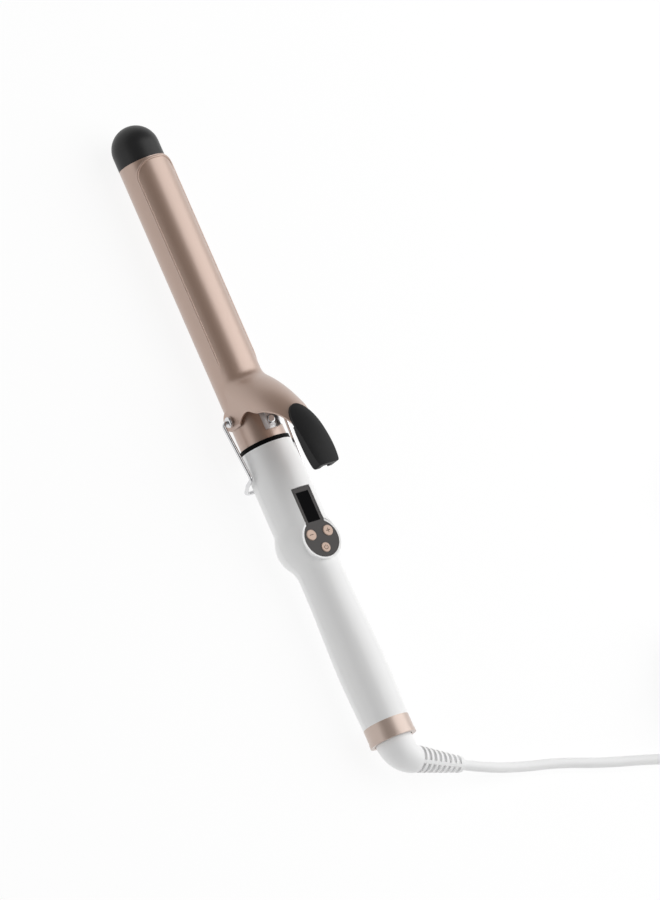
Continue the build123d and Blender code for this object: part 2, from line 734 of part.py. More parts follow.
def lever_pad():
    front, rear = PAD_START - 1, PAD_END + 1
    under = 2 * CLAMP_THICKNESS
    skirt = lever_top(LEVER_END) - PAD_SKIRT_DROP
    tall = 2 * skirt
    side = Polyline(
        (rear, tall),
        (rear, skirt),
        (PAD_SKIRT_START + PAD_SKIRT_STEP, skirt),
        (PAD_SKIRT_START, lever_top(PAD_SKIRT_START) - under),
        (front, lever_top(front) - under),
        (front, tall),
        (rear, tall),
    )
    side_plane = Plane(origin=(PIVOT, 2 * PAD_HALF_WIDTH, 0), x_dir=(1, 0, 0), z_dir=(0, -1, 0))
    pad = extrude(side_plane * make_face(side), 4 * PAD_HALF_WIDTH) & pad_crown()
    pad &= extrude(Plane(origin=(PIVOT, 0, 0)) * pad_plan(), tall)
    front_room = block(PIVOT, PIVOT + PAD_SKIRT_START - 1, 4 * CLAMP_OUTER, 0, tall)
    rear_room = block(PIVOT, PIVOT + LEVER_END + SEAT, 2 * (STRAP_HALF_WIDTH + SEAT), 0, tall)
    pad -= lever_form(-SEAT) & (front_room + rear_room)
    notch_top = skirt + PAD_NOTCH_HEIGHT
    tail = PIVOT + PAD_END
    return pad - block(tail - PAD_NOTCH_DEPTH, tail + 1, PAD_NOTCH_WIDTH, 0, notch_top)


# Pivot: a cross bar in the barrel, and a hollow stud through each ear
def pivot_bar():
    bar = rod_y(PIVOT, 0, -BORE_RADIUS, BORE_RADIUS, PIVOT_BAR_RADIUS) & rod_x(0, END, BORE_RADIUS - SEAT)
    return bar - rod_y(PIVOT, 0, -BORE_RADIUS, BORE_RADIUS, STUD_RADIUS + SEAT)


def pivot_studs():
    head_start = CLAMP_OUTER + FREE
    shank_start = BORE_RADIUS / 2
    shank = rod_y(PIVOT, 0, shank_start, head_start, STUD_RADIUS)
    head = rod_y(PIVOT, 0, head_start, head_start + STUD_HEAD_HEIGHT, STUD_HEAD_RADIUS)
    head = fillet(head.edges().group_by(Axis.Y)[-1], STUD_HEAD_HEIGHT / 2)
    bore = rod_y(PIVOT, 0, shank_start + 1, head_start + 2 * STUD_HEAD_HEIGHT, STAND_WIRE_RADIUS + RUN)
    stud = shank + head - bore
    return stud + mirror(stud, Plane.XZ)


# Clamp spring: a channel on the barrel, a screw, and a hairpin leaf that pushes up under the lever
def bracket_floor():
    return BARREL_RADIUS + BRACKET_WALL


def spring_bracket():
    start = PIVOT - BRACKET_FRONT
    end = PIVOT + BRACKET_BACK
    top = bracket_floor() + BRACKET_HEIGHT
    channel = block(start, end, BRACKET_WIDTH, 0, top)
    channel -= block(start, end, BRACKET_WIDTH - 2 * BRACKET_WALL, bracket_floor(), top)
    channel -= rod_x(0, END, BARREL_RADIUS + SEAT)
    return channel - rod_z(PIVOT + SPRING_SCREW_BACK, 0, 0, top, SPRING_SCREW_RADIUS + SEAT)


def clip_spring():
    bottom = bracket_floor()
    bend_x = -SPRING_BEND_FORWARD
    bend_z = bottom + SPRING_THICKNESS + SPRING_BEND_RADIUS
    sheet = CLAMP_THICKNESS / math.cos(arch_slope(SPRING_TIP_BACK))
    tip_z = lever_top(SPRING_TIP_BACK) - sheet - SPRING_TIP_GAP
    radius = SPRING_BEND_RADIUS + SPRING_THICKNESS / 2
    path = FilletPolyline(
        (BRACKET_BACK - 1, bottom + SPRING_THICKNESS / 2),
        (bend_x - 2 * radius, bottom + SPRING_THICKNESS / 2),
        (SPRING_TIP_BACK, tip_z),
        radius=radius,
    )
    strip = trace(path, SPRING_THICKNESS)
    plane = Plane(origin=(PIVOT, SPRING_WIDTH / 2, 0), x_dir=(1, 0, 0), z_dir=(0, -1, 0))
    leaf = extrude(plane * strip, SPRING_WIDTH)
    return leaf - rod_z(PIVOT + SPRING_SCREW_BACK, 0, 0, bend_z, SPRING_SCREW_RADIUS + SEAT)


def spring_screw():
    x = PIVOT + SPRING_SCREW_BACK
    seat = bracket_floor() + SPRING_THICKNESS
    shank = rod_z(x, 0, BORE_RADIUS - 1, seat, SPRING_SCREW_RADIUS)
    head = rod_z(x, 0, seat, seat + SPRING_SCREW_RADIUS, SPRING_SCREW_HEAD)
    return shank + fillet(head.edges().group_by(Axis.Z)[-1], SPRING_SCREW_RADIUS / 2)


# Stand: one bent wire, its ends turned into the studs and its foot passing under the handle
def stand_wire():
    stub = STAND_LEG_ACROSS - STAND_STUB
    leg_end = PIVOT + STAND_LEG_LENGTH
    leg_across = STAND_LEG_ACROSS - STAND_LEG_INSET
    hook_end = leg_end + STAND_HOOK_BACK
    half = [
        (PIVOT, stub, 0),
        (PIVOT, STAND_LEG_ACROSS, 0),
        (leg_end, leg_across, STAND_LEG_RISE),
        (hook_end, leg_across, STAND_LEG_RISE - STAND_HOOK_DROP),
        (hook_end + STAND_FOOT_BACK, STAND_FOOT_ACROSS, -STAND_FOOT_DEPTH),
    ]
    other = [(x, -y, z) for x, y, z in reversed(half)]
    corner = STAND_CORNER_RADIUS
    foot_radius = STAND_FOOT_RADIUS
    path = FilletPolyline(
        *half,
        *other,
        radius=[corner, corner, corner, foot_radius, foot_radius, corner, corner, corner],
    )
    return swept_round(path, STAND_WIRE_RADIUS)


# Swivel: a fixed socket in the neck, and a hollow spigot that turns in it with the elbow
def swivel_socket():
    return tube_x(SOCKET_START, SOCKET_START + SOCKET_LENGTH, NECK_BORE - SEAT, SPIGOT_RADIUS + RUN)


def clip_start():
    return SOCKET_START - FREE - CLIP_THICKNESS


def slip_ring_starts():
    last = clip_start() - SLIP_RING_SPACE - SLIP_RING_WIDTH
    return [last - SLIP_RING_WIDTH - SLIP_RING_SPACE, last]


def spigot_start():
    return slip_ring_starts()[0] - SLIP_RING_SPACE


def swivel_spigot():
    spigot = tube_x(spigot_start(), NECK_END, SPIGOT_RADIUS, SPIGOT_BORE)
    groove_start = clip_start() - SEAT
    groove_end = clip_start() + CLIP_THICKNESS + SEAT
    return spigot - tube_x(groove_start, groove_end, SPIGOT_RADIUS, SPIGOT_RADIUS - CLIP_GROOVE)


def retaining_clip():
    inner = SPIGOT_RADIUS - CLIP_GROOVE + SEAT
    return tube_x(clip_start(), clip_start() + CLIP_THICKNESS, CLIP_RADIUS, inner)


def slip_rings():
    rings = Part()
    for start in slip_ring_starts():
        outer = SPIGOT_RADIUS + SLIP_RING_THICKNESS
        rings += tube_x(start, start + SLIP_RING_WIDTH, outer, SPIGOT_RADIUS + SEAT)
    return rings


def contact_height():
    return SPIGOT_RADIUS + SLIP_RING_THICKNESS + FREE


def swivel_contacts():
    contacts = Part()
    bottom = contact_height()
    for side, start in zip((-1, 1), slip_ring_starts()):
        leaf_start = start + (SLIP_RING_WIDTH - CONTACT_WIDTH) / 2
        leaf = block(leaf_start, SOCKET_START, CONTACT_WIDTH, bottom, bottom + CONTACT_THICKNESS)
        leaf = Rot(90 * side, 0, 0) * leaf
        contacts += leaf
    return contacts


def supply_leads():
    board_end = power_board_span()[1]
    leads = Part()
    for side, start in zip((-1, 1), slip_ring_starts()):
        y = side * (contact_height() + CONTACT_THICKNESS + WIRE_RADIUS)
        path = FilletPolyline(
            (board_end - 6, side * WIRE_ACROSS, WIRE_RADIUS),
            (board_end, side * WIRE_ACROSS, WIRE_RADIUS),
            (board_end + 8, y, WIRE_RADIUS / 2),
            (start + SLIP_RING_WIDTH, y, 0),
            radius=3 * WIRE_RADIUS,
        )
        leads += swept_round(path, WIRE_RADIUS)
    return leads


# Elbow: a bent horn that narrows into a ladder-slotted strain relief
def elbow_direction():
    turn = math.radians(ELBOW_TURN)
    droop = math.radians(ELBOW_DROOP)
    return Vector(math.cos(turn), math.sin(turn) * math.cos(droop), -math.sin(turn) * math.sin(droop))


def elbow_corner():
    return Vector(END + ELBOW_RISE, 0, 0)


def elbow_exit():
    return elbow_corner() + elbow_direction() * ELBOW_LEG


def elbow_radii():
    narrowing = ELBOW_BASE_RADIUS - RELIEF_START_RADIUS
    return [(share, ELBOW_BASE_RADIUS - 0.95 * narrowing * share**1.5) for share in (0.0, 0.35, 0.7, 1.0)]


def cord_elbow():
    forward = Vector(1, 0, 0)
    out = elbow_direction()
    corner = elbow_corner()
    bend = FilletPolyline(
        corner - forward * (ELBOW_RISE + END_LIP_WIDTH),
        corner,
        corner + out * ELBOW_LEG,
        radius=(ELBOW_RISE - 0.5) / math.tan(math.radians(ELBOW_TURN / 2)),
    )
    arc = bend.edges()[1]
    across = forward.cross(out).normalized()
    sections = []
    base = Plane(origin=bend @ 0, x_dir=across, z_dir=forward)
    sections.append(base * Circle(ELBOW_BASE_RADIUS))
    for share, radius in elbow_radii():
        sections.append(Plane(origin=arc @ share, x_dir=across, z_dir=arc % share) * Circle(radius))
    relief = corner + out * RELIEF_START
    sections.append(Plane(origin=relief, x_dir=across, z_dir=out) * Circle(RELIEF_START_RADIUS))
    horn = loft(sections)
    cone = loft(
        [
            Plane(origin=relief, x_dir=across, z_dir=out) * Circle(RELIEF_START_RADIUS),
            Plane(origin=elbow_exit(), x_dir=across, z_dir=out) * Circle(RELIEF_END_RADIUS),
        ]
    )
    return horn + (cone - relief_slots(relief, out))


def relief_slots(start, out):
    level = Vector(0, 0, 1).cross(out).normalized()
    level = level.rotate(Axis((0, 0, 0), out), RELIEF_ROLL)
    frame = Plane(origin=start, x_dir=out, z_dir=out.cross(level))
    run = ELBOW_LEG - RELIEF_START - RELIEF_COLLAR
    first = run - (RELIEF_SLOTS - 1) * RELIEF_SLOT_PITCH - RELIEF_SLOT_WIDTH
    slots = Part()
    tall = 2 * RELIEF_START_RADIUS
    for index in range(RELIEF_SLOTS):
        middle = first + index * RELIEF_SLOT_PITCH + RELIEF_SLOT_WIDTH / 2
        for side in (-1, 1):
            across = side * (RELIEF_WEB + tall / 2)
            slots += frame * Pos(middle, across, 0) * Box(RELIEF_SLOT_WIDTH, tall, 1.3 * tall)
    core_plane = Plane(origin=start, z_dir=out)
    return slots - extrude(core_plane * Circle(RELIEF_CORE_RADIUS), ELBOW_LEG)


# Cord: the free stretches are tubes on straight runs and tangent arcs
def corner_radii(points):
    radii = []
    for before, at, after in zip(points, points[1:], points[2:]):
        arrive = Vector(*at) - Vector(*before)
        leave = Vector(*after) - Vector(*at)
        turn = math.radians(arrive.get_angle(leave))
        radii.append(0.45 * min(arrive.length, leave.length) / math.tan(turn / 2))
    return radii


def lead_points(coil):
    leave = TO_PART_FRAME.position + elbow_exit()
    first = leave + elbow_direction() * LEAD_FIRST_RUN
    last = coil @ 0 - (coil % 0) * LEAD_LAST_RUN
    return [tuple(leave), tuple(first)] + LEAD_ROUTE + [tuple(last), tuple(coil @ 0)]


def tail_points(coil):
    first = coil @ 1 + (coil % 1) * TAIL_RUN
    end = Vector(*TAIL_END, PLUG_THICKNESS / 2)
    last = end + Vector(TAIL_RUN, 0, 0)
    return [tuple(coil @ 1), tuple(first), tuple(last), tuple(end)]


def free_cord(points, name):
    radii = corner_radii(points)
    path = FilletPolyline(*points, radius=radii)
    tube = swept_round(path, CORD_RADIUS)
    expected = math.pi * CORD_RADIUS**2 * path.length
    rounded = [round(radius) for radius in radii]
    print(f"{name}: length {path.length:.1f}, radii {rounded}, volume ratio {tube.volume / expected:.4f}")
    print([tuple(round(value, 2) for value in point) for point in points])
    return tube


# Coil: flat spirals in and out, one layer on the next, climbing in the half turn where they reverse
def coil_nodes():
    swept = math.tau * COIL_TURNS + math.radians(COIL_TO_ANGLE - COIL_FROM_ANGLE)
    spiral = (swept - math.pi * (COIL_LAYERS - 1)) / COIL_LAYERS
    grow = COIL_PITCH / math.tau
    outer = COIL_INNER_RADIUS + grow * spiral
    steps = math.ceil(spiral / (math.pi / 2))
    angle = math.radians(COIL_FROM_ANGLE)
    height = TIE_THICKNESS + FREE + CORD_RADIUS
    nodes = []
    for layer in range(COIL_LAYERS):
        inward = layer % 2 == 0
        begin, rate = (outer, -grow) if inward else (COIL_INNER_RADIUS, grow)
        for step in range(steps + 1):
            turned = spiral * step / steps
            at_end = step in (0, steps)
            nodes.append((angle + turned, begin + rate * turned, height, 0.0 if at_end else rate, 0.0))
        angle += spiral
        if layer < COIL_LAYERS - 1:
            reached = begin + rate * spiral
            climb = 1.5 * COIL_LAYER / math.pi
            nodes.append((angle + math.pi / 2, reached, height + COIL_LAYER / 2, 0.0, climb))
            angle += math.pi
            height += COIL_LAYER
    return nodes


def coil_place(node):
    angle, radius, height, radial, climb = node
    out = Vector(math.cos(angle), math.sin(angle), 0)
    along = Vector(-math.sin(angle), math.cos(angle), 0)
    point = Vector(*COIL_CENTRE, height) + out * radius
    tangent = (along * radius + out * radial + Vector(0, 0, climb)).normalized()
    return point, tangent


def biarc(start, leave, end, arrive):
    chord = end - start
    both = leave + arrive
    spread = 2 * (1 - leave.dot(arrive))
    along = chord.dot(both)
    reach = (math.sqrt(along**2 + spread * chord.dot(chord)) - along) / spread
    joint = (start + end + (leave - arrive) * reach) * 0.5
    first = TangentArc(start, joint, tangent=leave)
    return [first, TangentArc(joint, end, tangent=first % 1)]


def coil_path():
    places = [coil_place(node) for node in coil_nodes()]
    straight = 2 * CORD_RADIUS
    first_point, first_tangent = places[0]
    edges = [Line(first_point - first_tangent * straight, first_point)]
    for (start, leave), (end, arrive) in zip(places, places[1:]):
        edges += biarc(start, leave, end, arrive)
    last_point, last_tangent = places[-1]
    edges.append(Line(last_point, last_point + last_tangent * straight))
    return Wire(edges)


def least_gap(path, diameter):
    count = 1600
    points = np.array([tuple(path @ (index / count)) for index in range(count + 1)])
    step = path.length / count
    apart = int(3 * diameter / step)
    least = math.inf
    for index in range(count - apart):
        away = np.linalg.norm(points[index + apart :] - points[index], axis=1)
        least = min(least, away.min())
    return least - diameter


def cord_tie():
    nodes = coil_nodes()
    inner = COIL_INNER_RADIUS - CORD_RADIUS - FREE
    outer = max(node[1] for node in nodes) + CORD_RADIUS + FREE
    top = max(node[2] for node in nodes) + CORD_RADIUS + FREE
    middle_z = (TIE_THICKNESS + top) / 2
    middle_r = (inner + outer) / 2
    hole = RectangleRounded(outer - inner, top - TIE_THICKNESS, CORD_RADIUS)
    wall = 2 * TIE_THICKNESS
    band = RectangleRounded(outer - inner + wall, top - TIE_THICKNESS + wall, CORD_RADIUS + TIE_THICKNESS)
    angle = math.radians(TIE_ANGLE)
    out = Vector(math.cos(angle), math.sin(angle), 0)
    along = Vector(-math.sin(angle), math.cos(angle), 0)
    origin = Vector(*COIL_CENTRE, middle_z) + out * middle_r - along * (TIE_WIDTH / 2)
    return extrude(Plane(origin=origin, x_dir=out, z_dir=along) * (band - hole), TIE_WIDTH)


# Plug: a flat tapered body with a short relief and two round pins, lying on its broad side
def plug_frame():
    x, y = TAIL_END
    return Plane(origin=(x, y, PLUG_THICKNESS / 2), x_dir=(0, 1, 0), z_dir=(-1, 0, 0))


def plug_body():
    frame = plug_frame()
    sections = [
        (PLUG_RELIEF_LENGTH, PLUG_NECK_WIDTH),
        (PLUG_RELIEF_LENGTH + PLUG_LENGTH - PLUG_FACE_LENGTH, PLUG_WIDTH),
    ]
    faces = []
    for along, width in sections:
        faces.append(frame.offset(along) * RectangleRounded(width, PLUG_THICKNESS, PLUG_CORNER))
    taper = loft(faces)
    face_block = extrude(faces[1], PLUG_FACE_LENGTH)
    relief = loft(
        [
            frame * Circle(CORD_RADIUS + 1.0),
            frame.offset(PLUG_RELIEF_LENGTH) * Circle(CORD_RADIUS + 2.4),
        ]
    )
    body = taper + face_block + relief
    for side in (-1, 1):
        root = frame.offset(plug_face() - PIN_ROOT) * Pos(side * PIN_SPACING / 2, 0)
        room = root * Circle(PIN_ROOT_RADIUS + SEAT)
        body -= extrude(room, PIN_ROOT)
    return body


def plug_face():
    return PLUG_RELIEF_LENGTH + PLUG_LENGTH


def plug_pins():
    frame = plug_frame().offset(plug_face() - PIN_ROOT)
    pins = Part()
    for side in (-1, 1):
        place = frame * Pos(side * PIN_SPACING / 2, 0)
        pin = extrude(place * Circle(PIN_RADIUS), PIN_ROOT + PIN_LENGTH)
        pin = fillet(pin.edges().group_by(Axis.X)[0], PIN_RADIUS / 2)
        pins += pin + extrude(place * Circle(PIN_ROOT_RADIUS), PIN_ROOT + PIN_COLLAR)
    return pins


def main():
    os.makedirs("parts", exist_ok=True)
    export(cool_tip(), "cool_tip")
    export(barrel_tube(), "barrel_tube")
    export(barrel_holder(), "barrel_holder")
    export(heat_spreader(1), "heat_spreader_upper")
    export(heat_spreader(-1), "heat_spreader_lower")
    export(ptc_heater(), "ptc_heater")
    export(thermistor(), "thermistor")
    export(thermal_fuse(), "thermal_fuse")
    export(heater_leads(), "heater_leads")
    top_shell, bottom_shell = handle_shells()
    export(top_shell, "handle_top_shell")
    export(bottom_shell, "handle_bottom_shell")
    export(casing_screws(), "casing_screws")
    export(end_ring(), "end_ring")
    export(control_panel(), "control_panel")
    export(lcd_window(), "lcd_window")
    export(lcd_module(), "lcd_module")
    export(control_board(), "control_board")
    export(tact_switches(), "tact_switches")
    export(power_board(), "power_board")
    export(power_components(), "power_components")
    for node, place in button_places().items():
        export(button(place), node)
    export(clamp_shell(), "clamp_shell")
    export(lever_pad(), "lever_pad")
    export(pivot_bar(), "pivot_bar")
    export(pivot_studs(), "pivot_studs")
    export(spring_bracket(), "spring_bracket")
    export(clip_spring(), "clip_spring")
    export(spring_screw(), "spring_screw")
    export(stand_wire(), "stand_wire")
    export(swivel_socket(), "swivel_socket")
    export(swivel_spigot(), "swivel_spigot")
    export(retaining_clip(), "retaining_clip")
    export(slip_rings(), "slip_rings")
    export(swivel_contacts(), "swivel_contacts")
    export(supply_leads(), "supply_leads")
    export(cord_elbow(), "cord_elbow")
    path = coil_path()
    coil = swept_round(path, CORD_RADIUS)
    expected = math.pi * CORD_RADIUS**2 * path.length
    gap = least_gap(path, 2 * CORD_RADIUS)
    ratio = coil.volume / expected
    print(f"cord_coil: length {path.length:.1f}, least gap {gap:.2f}, volume ratio {ratio:.4f}")
    export_lying(coil, "cord_coil")
    export_lying(free_cord(lead_points(path), "cord_lead"), "cord_lead")
    export_lying(free_cord(tail_points(path), "cord_tail"), "cord_tail")
    export_lying(cord_tie(), "cord_tie")
    export_lying(plug_body(), "plug_body")
    export_lying(plug_pins(), "plug_pins")


main()
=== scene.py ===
import math

import bpy
import numpy as np
from mathutils import Matrix, Vector


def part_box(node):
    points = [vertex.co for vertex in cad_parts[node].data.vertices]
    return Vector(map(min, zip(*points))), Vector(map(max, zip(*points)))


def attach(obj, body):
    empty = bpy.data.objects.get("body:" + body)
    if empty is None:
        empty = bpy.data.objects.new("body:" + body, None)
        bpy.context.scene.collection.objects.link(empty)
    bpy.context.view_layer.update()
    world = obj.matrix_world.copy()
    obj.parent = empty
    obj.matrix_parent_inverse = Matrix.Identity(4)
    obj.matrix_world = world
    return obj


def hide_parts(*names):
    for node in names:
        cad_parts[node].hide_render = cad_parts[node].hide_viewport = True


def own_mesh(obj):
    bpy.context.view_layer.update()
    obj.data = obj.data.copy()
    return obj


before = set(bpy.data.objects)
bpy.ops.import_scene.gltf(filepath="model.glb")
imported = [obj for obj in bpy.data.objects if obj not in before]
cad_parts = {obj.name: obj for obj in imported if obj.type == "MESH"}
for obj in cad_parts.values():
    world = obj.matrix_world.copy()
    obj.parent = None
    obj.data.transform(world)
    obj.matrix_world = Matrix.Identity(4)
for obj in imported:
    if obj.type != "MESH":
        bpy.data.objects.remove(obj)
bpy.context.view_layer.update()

bl_info = {
    "name": "Curling Iron Looks",
    "version": (1, 0, 0),
    "blender": (4, 5, 0),
    "location": "View3D > Sidebar > Iron",
    "description": "Finishes, clamp lip, spring, cord and signs of a curling iron in a studio",
    "category": "Object",
}

MM = 0.001

# The clamp's pivot, the barrel's axis, and the outline of the clamp seen from above
PIVOT_X = -9.6 * MM
AXIS_HEIGHT = 17.1 * MM
CLAMP_HALF_WIDTH = 12.0 * MM
CLAMP_NOSE_RADIUS = 8.5 * MM

# The lip along the clamp's edges: its own radius, how far inside the edge it runs, how far it is
# from the barrel's axis, how far before the pivot it ends and the length that it thins out over
LIP_RADIUS = 0.7 * MM
LIP_INSET = 0.3 * MM
LIP_RING = 13.9 * MM
LIP_END = 24.0 * MM
LIP_TAPER = 6.0 * MM
LIP_THINNEST = 0.05
LIP_SIDES = 20

# The leaf spring: its sheet, half its width, the radius of its bend, and where its blade ends past
# the pivot
LEAF_THICKNESS = 0.5 * MM
LEAF_HALF_WIDTH = 3.0 * MM
LEAF_BEND_RADIUS = 2.85 * MM
LEAF_TIP = 6.0 * MM

# The coil: its middle, its turns and layers, where its spiral starts and stops, the height of its
# first layer and how far its control polygon stands outside it, since the spline cuts corners
COIL_CENTRE = np.array([201.0, 219.0]) * MM
COIL_LAYERS = 4
COIL_TURNS = 9
COIL_START = math.radians(-14.4)
COIL_STOP = math.radians(90.0)
COIL_FLOOR = 3.85 * MM
COIL_OVERSIZE = 1.006
COIL_STEPS = 24

# The lead's route from the elbow to the coil, and the tail's to the plug, in millimetres
LEAD_ROUTE = [
    (196.55, 36.63, 11.3),
    (201.8, 52.6, 8.77),
    (206.2, 75.5, 4.6),
    (209.8, 101.0, 2.85),
    (217.3, 128.0, 2.85),
    (222.9, 157.0, 2.85),
    (230.92, 184.99, 3.85),
    (235.89, 204.36, 3.85),
]
TAIL_ROUTE = [
    (195.5, 256.44, 23.65),
    (175.5, 256.44, 23.65),
    (152.0, 258.0, 6.8),
    (132.0, 258.0, 6.8),
]

# The photograph's view: image right, image up and towards the camera, in the part's frame
VIEW_RIGHT = Vector((0.3947, 0.7821, 0.4822))
VIEW_UP = Vector((-0.9023, 0.2307, 0.3643))
VIEW_BACK = Vector((0.1737, -0.5789, 0.7968))
VIEW_TARGET = Vector((27.75, 8.91, 55.69)) * MM
VIEW_HEIGHT = 461.8 * MM

# Across the iron's axis in that view, which is where the lamps stand
VIEW_ACROSS = VIEW_RIGHT * 0.9162 + VIEW_UP * 0.4008
LAMP_DISTANCE = 1.3
KEY_SIZE = (1.6, 2.0)
FILL_SIZE = (1.6, 0.9)

# The button signs: half the length of a bar, the stroke, the power ring's radius and finer stroke,
# the ends of its bar, and the height of the ink above the cap
SIGN_REACH = 1.25 * MM
SIGN_STROKE = 0.36 * MM
POWER_RADIUS = 1.15 * MM
POWER_STROKE = SIGN_STROKE * 0.85
POWER_BAR = (-1.45 * MM, -0.2 * MM)
SIGN_LIFT = 0.02 * MM

# The relief of the two shared effects
GRAIN_STRENGTH = 0.35
RING_STRENGTH = 0.15
RING_DEPTH = 0.00002

# The floor: half its side, how far it lies under the part, the strength of its glow, and the glow's
# share in the light that it sends to the part and, on top of that, in the picture
FLOOR_HALF = 12.0
FLOOR_DROP = 0.0002
FLOOR_GLOW = 1.04
FLOOR_GLOW_SHARE = 0.60
FLOOR_SEEN_SHARE = 0.26

# Sines of the heights where the studio's pale walls end and its dark ceiling starts
WALL_TOP = 0.06
CEILING_EDGE = 0.36


class IronFinish(bpy.types.PropertyGroup):
    """Colours of the iron's finishes."""

    rose: bpy.props.FloatVectorProperty(
        name="Rose coat",
        description="Barrel and clamp",
        subtype="COLOR",
        default=(0.395, 0.232, 0.155),
    )
    pale_rose: bpy.props.FloatVectorProperty(
        name="Pale rose",
        description="Button caps and end ring",
        subtype="COLOR",
        default=(0.52, 0.39, 0.32),
    )
    pearl: bpy.props.FloatVectorProperty(
        name="Pearl white",
        description="Handle shells",
        subtype="COLOR",
        default=(0.88, 0.88, 0.877),
    )
    charcoal: bpy.props.FloatVectorProperty(
        name="Charcoal",
        description="Tip and lever pad",
        subtype="COLOR",
        default=(0.018, 0.018, 0.0185),
    )
    panel_grey: bpy.props.FloatVectorProperty(
        name="Panel grey",
        description="Keyhole plate",
        subtype="COLOR",
        default=(0.068, 0.063, 0.062),
    )
    cord_white: bpy.props.FloatVectorProperty(
        name="Cord white",
        description="Cord, elbow and plug",
        subtype="COLOR",
        default=(0.90, 0.90, 0.90),
    )


class IronCord(bpy.types.PropertyGroup):
    """Sizes of the mains cord."""

    diameter: bpy.props.FloatProperty(
        name="Diameter", description="Thickness of the cord", default=5.5 * MM, unit="LENGTH"
    )
    length: bpy.props.FloatProperty(
        name="Length", description="Elbow to plug", default=2.026, unit="LENGTH"
    )
    coil_inner: bpy.props.FloatProperty(
        name="Coil inner radius",
        description="Middle of the innermost turn",
        default=24.0 * MM,
        unit="LENGTH",
    )
    coil_pitch: bpy.props.FloatProperty(
        name="Coil pitch", description="Turn to turn in a layer", default=6.9 * MM, unit="LENGTH"
    )
    coil_layer: bpy.props.FloatProperty(
        name="Layer height", description="Layer to layer", default=6.6 * MM, unit="LENGTH"
    )


class IronStage(bpy.types.PropertyGroup):
    """Camera distance, lamp powers and the ceiling's strength."""

    distance: bpy.props.FloatProperty(
        name="Camera distance",
        description="From the middle of the picture",
        default=6.0,
        unit="LENGTH",
    )
    key_power: bpy.props.FloatProperty(
        name="Key power", description="Broad lamp on the right", default=20.0, unit="POWER"
    )
    fill_power: bpy.props.FloatProperty(
        name="Fill power", description="Weak lamp on the left", default=2.0, unit="POWER"
    )
    sky: bpy.props.FloatProperty(name="Sky", description="Strength of the ceiling", default=0.19)


def new_group(name, inputs, outputs):
    """A shader node group with named sockets; inputs are (name, kind, default)."""
    group = bpy.data.node_groups.new(name, "ShaderNodeTree")
    for socket, kind, default in inputs:
        made = group.interface.new_socket(socket, in_out="INPUT", socket_type=kind)
        made.default_value = default
    for socket, kind in outputs:
        group.interface.new_socket(socket, in_out="OUTPUT", socket_type=kind)
    return group, group.nodes.new("NodeGroupInput"), group.nodes.new("NodeGroupOutput")


def math_node(tree, operation, first, second):
    """One Math node; each operand is a socket or a number."""
    node = tree.nodes.new("ShaderNodeMath")
    node.operation = operation
    for index, value in enumerate((first, second)):
        if isinstance(value, (int, float)):
            node.inputs[index].default_value = value
        else:
            tree.links.new(value, node.inputs[index])
    return node.outputs[0]


def noise(tree, coordinate, scale, detail=3.0):
    """A noise texture's value; the scale is a socket or a number."""
    node = tree.nodes.new("ShaderNodeTexNoise")
    node.inputs["Detail"].default_value = detail
    if isinstance(scale, (int, float)):
        node.inputs["Scale"].default_value = scale
    else:
        tree.links.new(scale, node.inputs["Scale"])
    tree.links.new(coordinate, node.inputs["Vector"])
    return node.outputs["Fac"]


def make_grain_group():
    """Moulded or sprayed surface: fine noise roughens it, and slow noise shades its colour."""
    group, come, go = new_group(
        "Fine Grain",
        [
            ("Colour", "NodeSocketColor", (0.8, 0.8, 0.8, 1.0)),
            ("Grain Scale", "NodeSocketFloat", 2500.0),
            ("Shade", "NodeSocketFloat", 0.04),
            ("Roughness", "NodeSocketFloat", 0.4),
            ("Spread", "NodeSocketFloat", 0.1),
        ],
        [
            ("Colour", "NodeSocketColor"),
            ("Roughness", "NodeSocketFloat"),
            ("Height", "NodeSocketFloat"),
        ],
    )
    place = group.nodes.new("ShaderNodeTexCoord").outputs["Object"]
    fine = noise(group, place, come.outputs["Grain Scale"], detail=2.0)
    slow = noise(group, place, 60.0)
    centred = math_node(group, "SUBTRACT", slow, 0.5)
    shade = math_node(group, "MULTIPLY", centred, come.outputs["Shade"])
    bright = math_node(group, "ADD", shade, 1.0)
    tint = group.nodes.new("ShaderNodeMix")
    tint.data_type = "RGBA"
    tint.blend_type = "MULTIPLY"
    tint.inputs["Factor"].default_value = 1.0
    group.links.new(come.outputs["Colour"], tint.inputs[6])
    group.links.new(bright, tint.inputs[7])
    fine_centred = math_node(group, "SUBTRACT", fine, 0.5)
    spread = math_node(group, "MULTIPLY", fine_centred, come.outputs["Spread"])
    rough = math_node(group, "ADD", spread, come.outputs["Roughness"])
    group.links.new(tint.outputs[2], go.inputs["Colour"])
    group.links.new(rough, go.inputs["Roughness"])
    group.links.new(fine, go.inputs["Height"])
    return group


